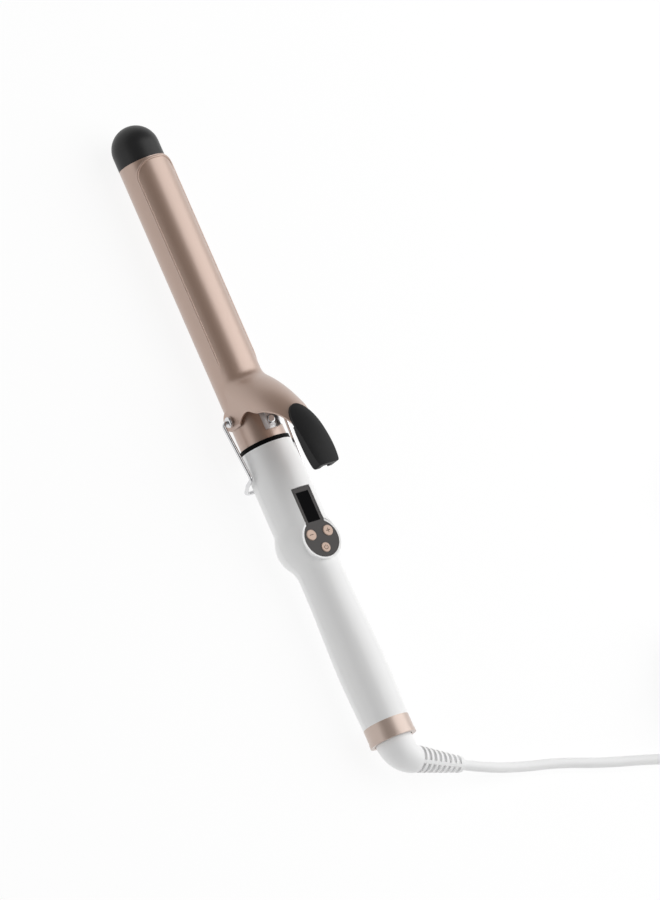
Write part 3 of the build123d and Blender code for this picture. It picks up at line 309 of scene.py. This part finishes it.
def make_turned_group():
    """Turned metal: noise squeezed along the axis runs round the piece as fine rings."""
    group, come, go = new_group(
        "Turned Rings",
        [
            ("Rings", "NodeSocketFloat", 3000.0),
            ("Roughness", "NodeSocketFloat", 0.3),
            ("Spread", "NodeSocketFloat", 0.15),
        ],
        [("Roughness", "NodeSocketFloat"), ("Height", "NodeSocketFloat")],
    )
    place = group.nodes.new("ShaderNodeTexCoord").outputs["Object"]
    along = group.nodes.new("ShaderNodeSeparateXYZ")
    group.links.new(place, along.inputs[0])
    ring = group.nodes.new("ShaderNodeTexNoise")
    ring.noise_dimensions = "1D"
    ring.inputs["Detail"].default_value = 3.0
    group.links.new(along.outputs["X"], ring.inputs["W"])
    group.links.new(come.outputs["Rings"], ring.inputs["Scale"])
    centred = math_node(group, "SUBTRACT", ring.outputs["Fac"], 0.5)
    spread = math_node(group, "MULTIPLY", centred, come.outputs["Spread"])
    rough = math_node(group, "ADD", spread, come.outputs["Roughness"])
    group.links.new(rough, go.inputs["Roughness"])
    group.links.new(ring.outputs["Fac"], go.inputs["Height"])
    return group


GROUPS = {}


def group_node(tree, name, **values):
    """Places a shared group in a material, with this material's own values."""
    makers = {"Fine Grain": make_grain_group, "Turned Rings": make_turned_group}
    if name not in GROUPS:
        GROUPS[name] = makers[name]()
    node = tree.nodes.new("ShaderNodeGroup")
    node.node_tree = GROUPS[name]
    for socket, value in values.items():
        node.inputs[socket.replace("_", " ")].default_value = value
    return node


def bump(tree, shader, height, strength, distance):
    """Bends the shader's normal by a height."""
    node = tree.nodes.new("ShaderNodeBump")
    node.inputs["Strength"].default_value = strength
    node.inputs["Distance"].default_value = distance
    tree.links.new(height, node.inputs["Height"])
    tree.links.new(node.outputs["Normal"], shader.inputs["Normal"])


def new_material(name):
    """A material with its node tree and Principled shader."""
    material = bpy.data.materials.new(name)
    material.use_nodes = True
    tree = material.node_tree
    return material, tree, tree.nodes["Principled BSDF"]


def grained(
    name,
    colour,
    roughness,
    metallic=0.0,
    scale=2500.0,
    spread=0.1,
    shade=0.04,
    depth=0.0,
    gloss=0.5,
    coat=0.0,
    coat_ior=1.5,
    coat_roughness=0.3,
):
    """A moulded or sprayed finish with the shared fine grain."""
    material, tree, shader = new_material(name)
    grain = group_node(
        tree,
        "Fine Grain",
        Colour=(*colour, 1.0),
        Grain_Scale=scale,
        Shade=shade,
        Roughness=roughness,
        Spread=spread,
    )
    tree.links.new(grain.outputs["Colour"], shader.inputs["Base Color"])
    tree.links.new(grain.outputs["Roughness"], shader.inputs["Roughness"])
    shader.inputs["Metallic"].default_value = metallic
    shader.inputs["Specular IOR Level"].default_value = gloss
    shader.inputs["Coat Weight"].default_value = coat
    shader.inputs["Coat Roughness"].default_value = coat_roughness
    shader.inputs["Coat IOR"].default_value = coat_ior
    if depth > 0:
        bump(tree, shader, grain.outputs["Height"], GRAIN_STRENGTH, depth)
    return material


def turned(name, colour, roughness, rings=3000.0, spread=0.15):
    """Bare or plated metal with the shared turning rings."""
    material, tree, shader = new_material(name)
    lines = group_node(tree, "Turned Rings", Rings=rings, Roughness=roughness, Spread=spread)
    shader.inputs["Base Color"].default_value = (*colour, 1.0)
    shader.inputs["Metallic"].default_value = 1.0
    tree.links.new(lines.outputs["Roughness"], shader.inputs["Roughness"])
    bump(tree, shader, lines.outputs["Height"], RING_STRENGTH, RING_DEPTH)
    return material


def plain(name, colour, roughness, gloss=0.5):
    """An even finish without grain."""
    material, _, shader = new_material(name)
    shader.inputs["Base Color"].default_value = (*colour, 1.0)
    shader.inputs["Roughness"].default_value = roughness
    shader.inputs["Specular IOR Level"].default_value = gloss
    return material


def dress(material, *nodes):
    """Gives CAD nodes this material."""
    for node in nodes:
        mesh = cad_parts[node].data
        mesh.materials.clear()
        mesh.materials.append(material)


def grid_mesh(name, points, tube=False):
    """A mesh of quads over a grid of points. In a tube the columns close on themselves, and the
    first and last rows get end faces."""
    rows, columns = points.shape[:2]
    index = np.arange(rows * columns).reshape(rows, columns)
    here, down = index[:-1], index[1:]
    if tube:
        right, down_right = np.roll(here, -1, axis=1), np.roll(down, -1, axis=1)
    else:
        here, right, down, down_right = here[:, :-1], here[:, 1:], down[:, :-1], down[:, 1:]
    faces = np.stack([here, right, down_right, down], axis=-1).reshape(-1, 4).tolist()
    if tube:
        faces += [index[0, ::-1].tolist(), index[-1].tolist()]
    mesh = bpy.data.meshes.new(name)
    mesh.from_pydata(points.reshape(-1, 3), [], faces)
    return mesh


def add_piece(name, mesh, material, body):
    """A new piece in this material that rides on a body."""
    piece = bpy.data.objects.new(name, mesh)
    bpy.context.scene.collection.objects.link(piece)
    piece.data.materials.append(material)
    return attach(piece, body)


def lip_points():
    """The clamp's rounded lip: a bead along both edges and round the nose, which thins out at the
    lever."""
    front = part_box("clamp_shell")[0].x + LIP_INSET
    back = PIVOT_X - LIP_END
    half, nose = CLAMP_HALF_WIDTH - LIP_INSET, CLAMP_NOSE_RADIUS - LIP_INSET
    turn = np.linspace(0.0, math.pi / 2, 16)[1:-1]
    side = np.linspace((back, -half), (front + nose, -half), 60)
    centre = np.array([front + nose, nose - half])
    corner = centre - nose * np.column_stack([np.sin(turn), np.cos(turn)])
    nose_edge = np.linspace((front, nose - half), (front, 0.0), 6)
    plan = np.concatenate([side, corner, nose_edge])
    plan = np.concatenate([plan, plan[-2::-1] * (1, -1)])
    rise = np.sqrt(LIP_RING**2 - plan[:, 1] ** 2)
    path = np.column_stack([plan, AXIS_HEIGHT + rise])
    along = np.gradient(path, axis=0)
    along /= np.linalg.norm(along, axis=1, keepdims=True)
    out = np.column_stack([np.zeros(len(path)), plan[:, 1], rise]) / LIP_RING
    across = np.cross(along, out)
    thin = np.clip((back - path[:, 0]) / LIP_TAPER, LIP_THINNEST, 1.0)
    angle = np.linspace(0.0, math.tau, LIP_SIDES, endpoint=False)[None, :, None]
    bead = np.cos(angle) * out[:, None] + np.sin(angle) * across[:, None]
    return path[:, None] + LIP_RADIUS * thin[:, None, None] * bead


class IRON_OT_barrel(bpy.types.Operator):
    """Coats the barrel, clamp and clamp lip, and finishes the tip, holder, pad and fittings"""

    bl_idname = "iron.barrel"
    bl_label = "Barrel and Clamp"

    def execute(self, context):
        finish = context.scene.iron_finish
        rose = grained(
            "Satin Rose Coat",
            finish.rose,
            0.4,
            metallic=0.45,
            scale=5200.0,
            spread=0.16,
            depth=0.00001,
            coat=1.0,
            coat_ior=2.4,
            coat_roughness=0.38,
        )
        dress(rose, "barrel_tube", "clamp_shell")
        mesh = grid_mesh("clamp_lip", lip_points(), tube=True)
        mesh.shade_smooth()
        add_piece("clamp_lip", mesh, rose, "clamp")
        black = grained(
            "Heatproof Black", finish.charcoal, 0.4, scale=3000.0, depth=0.00002, gloss=0.3
        )
        dress(black, "cool_tip")
        # The holder's near-black with almost no gloss is its own black, deepened by painted shade
        # of the recess it sits in
        dress(plain("Holder Black And Recess Shade", (0.003, 0.003, 0.003), 0.5, gloss=0.05), "barrel_holder")
        pad = grained("Pad Black", finish.charcoal, 0.45, scale=2600.0, depth=0.0001, gloss=0.12)
        dress(pad, "lever_pad")
        bright = turned("Bright Nickel", (0.72, 0.72, 0.73), 0.14, spread=0.05)
        dress(bright, "pivot_studs", "stand_wire", "spring_screw")
        steel = grained("Spring Steel", (0.55, 0.55, 0.56), 0.3, metallic=1.0)
        dress(steel, "spring_bracket", "pivot_bar", "casing_screws", "retaining_clip")
        return {"FINISHED"}


class IRON_OT_handle(bpy.types.Operator):
    """Finishes the handle shells, control panel, buttons and end ring"""

    bl_idname = "iron.handle"
    bl_label = "Handle and Panel"

    def execute(self, context):
        finish = context.scene.iron_finish
        pearl = grained(
            "Pearl White", finish.pearl, 0.33, scale=4200.0, spread=0.12, shade=0.015, coat=0.25
        )
        dress(pearl, "handle_top_shell", "handle_bottom_shell")
        panel = grained("Panel Grey", finish.panel_grey, 0.5, scale=3600.0, gloss=0.25)
        dress(panel, "control_panel")
        dress(plain("Display Black", (0.002, 0.002, 0.0025), 0.2, gloss=0.02), "lcd_window")
        caps = grained(
            "Pale Rose Cap", finish.pale_rose, 0.45, metallic=0.3, scale=5200.0, gloss=0.3
        )
        dress(caps, "minus_button", "plus_button", "power_button")
        ring = grained(
            "Satin Rose Ring",
            finish.pale_rose,
            0.4,
            metallic=0.4,
            scale=5200.0,
            spread=0.16,
            coat=1.0,
            coat_ior=2.0,
            coat_roughness=0.38,
        )
        dress(ring, "end_ring")
        return {"FINISHED"}


class IRON_OT_inside(bpy.types.Operator):
    """Gives the hidden heater, boards and swivel their plain finishes"""

    bl_idname = "iron.inside"
    bl_label = "Inner Pieces"

    def execute(self, context):
        aluminium = turned("Drawn Aluminium", (0.62, 0.62, 0.63), 0.35)
        dress(aluminium, "heat_spreader_upper", "heat_spreader_lower")
        dress(grained("Heater Ceramic", (0.62, 0.58, 0.50), 0.6), "ptc_heater")
        dress(plain("Amber Seal", (0.25, 0.12, 0.05), 0.2), "thermistor", "thermal_fuse")
        dress(plain("Red Silicone", (0.40, 0.03, 0.02), 0.5), "heater_leads", "supply_leads")
        dress(grained("Board Green", (0.02, 0.14, 0.06), 0.45), "control_board", "power_board")
        component = plain("Component Black", (0.03, 0.03, 0.03), 0.4)
        dress(component, "lcd_module", "tact_switches", "power_components")
        dress(grained("Bearing Grey", (0.40, 0.40, 0.39), 0.45), "swivel_socket", "swivel_spigot")
        dress(turned("Contact Brass", (0.66, 0.46, 0.18), 0.25), "slip_rings", "swivel_contacts")
        return {"FINISHED"}


def hairpin_points():
    """The leaf spring: a flat foot, a round bend and a rising blade, as a centreline in x and z,
    thickened along its normal and drawn across its width."""
    low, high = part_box("clip_spring")
    sheet = LEAF_THICKNESS / 2
    foot = low.z + sheet
    radius = LEAF_BEND_RADIUS
    tip = np.array([PIVOT_X + LEAF_TIP, high.z - sheet])
    centre = np.array([low.x + radius + sheet, foot + radius])
    reach = tip - centre
    turn = math.atan2(reach[1], reach[0]) + math.acos(radius / np.hypot(*reach))
    angle = np.linspace(-math.pi / 2, turn - math.tau, 18)
    bend = centre + radius * np.stack([np.cos(angle), np.sin(angle)], axis=-1)
    start = np.array([[high.x, foot]])
    line = np.concatenate([start, bend, tip[None]])
    along = np.gradient(line, axis=0)
    along /= np.linalg.norm(along, axis=1, keepdims=True)
    normal = np.stack([-along[:, 1], along[:, 0]], axis=-1)
    upper, lower = line + normal * sheet, line - normal * sheet
    edges = np.stack([upper, lower, lower, upper], axis=1)
    across = np.array([-1, -1, 1, 1]) * LEAF_HALF_WIDTH
    across = np.broadcast_to(across, edges.shape[:2])
    return np.stack([edges[..., 0], across, edges[..., 1]], axis=-1)


class IRON_OT_spring(bpy.types.Operator):
    """Makes the hairpin leaf spring under the lever, as a fixed piece on the handle"""

    bl_idname = "iron.spring"
    bl_label = "Clamp Spring"

    def execute(self, context):
        steel = grained("Leaf Steel", (0.50, 0.50, 0.51), 0.28, metallic=1.0)
        mesh = grid_mesh("hairpin_leaf", hairpin_points(), tube=True)
        leaf = add_piece("hairpin_leaf", mesh, steel, "handle")
        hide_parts("clip_spring")
        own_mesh(leaf)
        return {"FINISHED"}


def coil_route(cord):
    """Flat spirals in and out, layer on layer: the radius falls and grows with the angle, and the
    height rises in the half turns where the spiral reverses."""
    swept = math.tau * COIL_TURNS + COIL_STOP - COIL_START
    spiral = (swept - math.pi * (COIL_LAYERS - 1)) / COIL_LAYERS
    block = spiral + math.pi
    angle = np.arange(0.0, swept, math.tau / COIL_STEPS)[1:]
    layer = np.minimum(angle // block, COIL_LAYERS - 1)
    within = angle - layer * block
    climb = np.clip((within - spiral) / math.pi, 0.0, 1.0)
    smooth = climb * climb * (3 - 2 * climb)
    run = np.minimum(within, spiral) * cord.coil_pitch / math.tau
    outer = cord.coil_inner + spiral * cord.coil_pitch / math.tau
    radius = np.where(layer % 2 == 0, outer - run, cord.coil_inner + run) * COIL_OVERSIZE
    turn = COIL_START + angle
    around = COIL_CENTRE + radius[:, None] * np.column_stack([np.cos(turn), np.sin(turn)])
    return np.column_stack([around, COIL_FLOOR + cord.coil_layer * (layer + smooth)])


class IRON_OT_cord(bpy.types.Operator):
    """Lays the cord from the elbow through its coil to the plug, and finishes its fittings"""

    bl_idname = "iron.cord"
    bl_label = "Cord"

    def execute(self, context):
        finish, cord = context.scene.iron_finish, context.scene.iron_cord
        white = grained(
            "Flexible White", finish.cord_white, 0.42, scale=3200.0, shade=0.01, depth=0.00001
        )
        dress(white, "cord_elbow", "plug_body")
        dress(grained("Tie White", (0.70, 0.70, 0.69), 0.6), "cord_tie")
        dress(turned("Pin Nickel", (0.70, 0.69, 0.66), 0.2), "plug_pins")
        lead, tail = np.array(LEAD_ROUTE) * MM, np.array(TAIL_ROUTE) * MM
        route = np.concatenate([lead, coil_route(cord), tail])
        curve = bpy.data.curves.new("mains_cord", "CURVE")
        curve.dimensions = "3D"
        curve.bevel_depth = cord.diameter / 2
        curve.bevel_resolution = 5
        curve.resolution_u = 6
        curve.use_fill_caps = True
        spline = curve.splines.new("NURBS")
        spline.points.add(len(route) - 1)
        spline.points.foreach_set("co", np.column_stack([route, np.ones(len(route))]).ravel())
        spline.order_u = 3
        spline.use_endpoint_u = True
        piece = add_piece("mains_cord", curve, white, "swivel")
        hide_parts("cord_lead", "cord_coil", "cord_tail")
        return {"FINISHED"}


def sign_mesh(name, strips, place):
    """Flat signs as strips: each is a centreline, widened to both sides and laid at one place."""
    vertices, faces, base = [], [], 0
    for line, width in strips:
        before = np.concatenate([line[:1], line[:-1]])
        after = np.concatenate([line[1:], line[-1:]])
        along = after - before
        along /= np.linalg.norm(along, axis=1, keepdims=True)
        side = np.stack([-along[:, 1], along[:, 0]], axis=-1) * width / 2
        vertices.append(np.concatenate([line + side, line - side]))
        count = len(line)
        here = np.arange(count - 1) + base
        faces.append(np.stack([here, here + count, here + count + 1, here + 1], axis=-1))
        base += 2 * count
    flat = np.concatenate(vertices)
    points = np.column_stack([flat, np.zeros(len(flat))]) + place
    mesh = bpy.data.meshes.new(name)
    mesh.from_pydata(points, [], np.concatenate(faces))
    return mesh


def bar(start, end):
    """A straight centreline."""
    return np.linspace(start, end, 2)


class IRON_OT_signs(bpy.types.Operator):
    """Prints the minus, plus and power signs on the button caps"""

    bl_idname = "iron.signs"
    bl_label = "Button Signs"

    def execute(self, context):
        ink = plain("Sign Ink", (0.08, 0.045, 0.035), 0.6, gloss=0.2)
        angle = np.radians(np.linspace(130.0, 410.0, 25))
        ring = np.column_stack([-np.sin(angle), np.cos(angle)]) * POWER_RADIUS
        top, bottom = POWER_BAR
        across = bar((0.0, -SIGN_REACH), (0.0, SIGN_REACH))
        along = bar((-SIGN_REACH, 0.0), (SIGN_REACH, 0.0))
        strips = {
            "minus_button": [(across, SIGN_STROKE)],
            "plus_button": [(across, SIGN_STROKE), (along, SIGN_STROKE)],
            "power_button": [(ring, POWER_STROKE), (bar((top, 0.0), (bottom, 0.0)), POWER_STROKE)],
        }
        for node, shapes in strips.items():
            low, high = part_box(node)
            middle = (low + high) / 2
            place = (middle.x, middle.y, high.z + SIGN_LIFT)
            sign = add_piece(node + "_sign", sign_mesh(node + "_sign", shapes, place), ink, node)
        return {"FINISHED"}


def aim(thing, place, target):
    """Turns a lamp at place so that its -Z looks at target."""
    back = (place - target).normalized()
    side = Vector((0, 0, 1)).cross(back).normalized()
    up = back.cross(side)
    turned_to = Matrix((side, up, back)).transposed().to_4x4()
    thing.matrix_world = Matrix.Translation(place) @ turned_to


def add_lamp(name, toward, size, power):
    """A rectangular lamp that looks at the middle of the picture from the given side."""
    lamp = bpy.data.lights.new(name, "AREA")
    lamp.shape = "RECTANGLE"
    lamp.size, lamp.size_y = size
    lamp.energy = power
    thing = bpy.data.objects.new(name, lamp)
    bpy.context.scene.collection.objects.link(thing)
    aim(thing, VIEW_TARGET + toward.normalized() * LAMP_DISTANCE, VIEW_TARGET)


def seen_factor(tree):
    """1 for camera, glossy and transmission rays, and 0 for the rays that light the object."""
    rays = tree.nodes.new("ShaderNodeLightPath").outputs
    sharp = math_node(tree, "MAXIMUM", rays["Is Glossy Ray"], rays["Is Transmission Ray"])
    return math_node(tree, "MAXIMUM", rays["Is Camera Ray"], sharp)


class IRON_OT_stage(bpy.types.Operator):
    """Sets the floor, sky, lamps and camera"""

    bl_idname = "iron.stage"
    bl_label = "Stage"

    def execute(self, context):
        scene, stage = context.scene, context.scene.iron_stage
        scene.view_settings.view_transform = "Standard"
        self.make_floor()
        self.make_sky(scene, stage.sky)
        key_side = VIEW_BACK * 0.30 + VIEW_ACROSS * 0.95
        fill_side = VIEW_BACK * 0.9 - VIEW_ACROSS
        add_lamp("key_lamp", key_side, KEY_SIZE, stage.key_power)
        add_lamp("fill_lamp", fill_side, FILL_SIZE, stage.fill_power)
        self.make_camera(scene, stage.distance)
        return {"FINISHED"}

    def make_camera(self, scene, distance):
        """The photograph's view, from far enough away to keep the lines nearly parallel."""
        camera = bpy.data.cameras.new("photo_camera")
        camera.sensor_fit = "VERTICAL"
        camera.sensor_height = 24.0
        camera.lens = camera.sensor_height * distance / VIEW_HEIGHT
        camera.clip_end = 100.0
        thing = bpy.data.objects.new("photo_camera", camera)
        scene.collection.objects.link(thing)
        turned_to = Matrix((VIEW_RIGHT, VIEW_UP, VIEW_BACK)).transposed().to_4x4()
        place = VIEW_TARGET + VIEW_BACK * distance
        thing.matrix_world = Matrix.Translation(place) @ turned_to
        scene.camera = thing

    def make_floor(self):
        """A pale floor that takes the shadow and glows, more so where the camera sees it."""
        material, tree, shader = new_material("Pale Floor")
        shader.inputs["Base Color"].default_value = (0.86, 0.86, 0.86, 1.0)
        shader.inputs["Roughness"].default_value = 0.9
        glow = tree.nodes.new("ShaderNodeEmission")
        glow.inputs["Strength"].default_value = FLOOR_GLOW
        mix = tree.nodes.new("ShaderNodeMixShader")
        shown = math_node(tree, "MULTIPLY", seen_factor(tree), FLOOR_SEEN_SHARE)
        tree.links.new(math_node(tree, "ADD", shown, FLOOR_GLOW_SHARE), mix.inputs[0])
        tree.links.new(shader.outputs[0], mix.inputs[1])
        tree.links.new(glow.outputs[0], mix.inputs[2])
        tree.links.new(mix.outputs[0], tree.nodes["Material Output"].inputs["Surface"])
        near, far = -FLOOR_HALF, FLOOR_HALF
        level = -FLOOR_DROP
        rows = [[(near, y, level), (far, y, level)] for y in (near, far)]
        floor = bpy.data.objects.new("floor", grid_mesh("floor", np.array(rows)))
        bpy.context.scene.collection.objects.link(floor)
        floor.data.materials.append(material)

    def make_sky(self, scene, strength):
        """Pale walls under a dark ceiling: white at the horizon, the given strength overhead."""
        world = bpy.data.worlds.new("Studio Sky")
        world.use_nodes = True
        scene.world = world
        tree = world.node_tree
        light = tree.nodes["Background"]
        light.inputs["Color"].default_value = (1.0, 1.0, 1.0, 1.0)
        way = tree.nodes.new("ShaderNodeSeparateXYZ")
        tree.links.new(tree.nodes.new("ShaderNodeTexCoord").outputs["Generated"], way.inputs[0])
        fall = tree.nodes.new("ShaderNodeMapRange")
        fall.interpolation_type = "SMOOTHSTEP"
        fall.inputs["From Min"].default_value = WALL_TOP
        fall.inputs["From Max"].default_value = CEILING_EDGE
        fall.inputs["To Min"].default_value = 1.0
        fall.inputs["To Max"].default_value = strength
        tree.links.new(way.outputs["Z"], fall.inputs["Value"])
        tree.links.new(fall.outputs["Result"], light.inputs["Strength"])


OPERATORS = (
    IRON_OT_barrel,
    IRON_OT_handle,
    IRON_OT_inside,
    IRON_OT_spring,
    IRON_OT_cord,
    IRON_OT_signs,
    IRON_OT_stage,
)


class IRON_PT_looks(bpy.types.Panel):
    """Lists the iron's operators and settings"""

    bl_label = "Curling Iron"
    bl_space_type = "VIEW_3D"
    bl_region_type = "UI"
    bl_category = "Iron"

    def draw(self, context):
        scene = context.scene
        for operator in OPERATORS:
            self.layout.operator(operator.bl_idname)
        for settings in (scene.iron_finish, scene.iron_cord, scene.iron_stage):
            for name in settings.__annotations__:
                self.layout.prop(settings, name)


CLASSES = (IronFinish, IronCord, IronStage, *OPERATORS, IRON_PT_looks)


def register():
    for cls in CLASSES:
        bpy.utils.register_class(cls)
    bpy.types.Scene.iron_finish = bpy.props.PointerProperty(type=IronFinish)
    bpy.types.Scene.iron_cord = bpy.props.PointerProperty(type=IronCord)
    bpy.types.Scene.iron_stage = bpy.props.PointerProperty(type=IronStage)


def unregister():
    del bpy.types.Scene.iron_finish
    del bpy.types.Scene.iron_cord
    del bpy.types.Scene.iron_stage
    for cls in reversed(CLASSES):
        bpy.utils.unregister_class(cls)


def main():
    register()
    bpy.ops.iron.barrel()
    bpy.ops.iron.handle()
    bpy.ops.iron.inside()
    bpy.ops.iron.spring()
    bpy.ops.iron.cord()
    bpy.ops.iron.signs()
    bpy.ops.iron.stage()


if __name__ == "__main__":
    main()
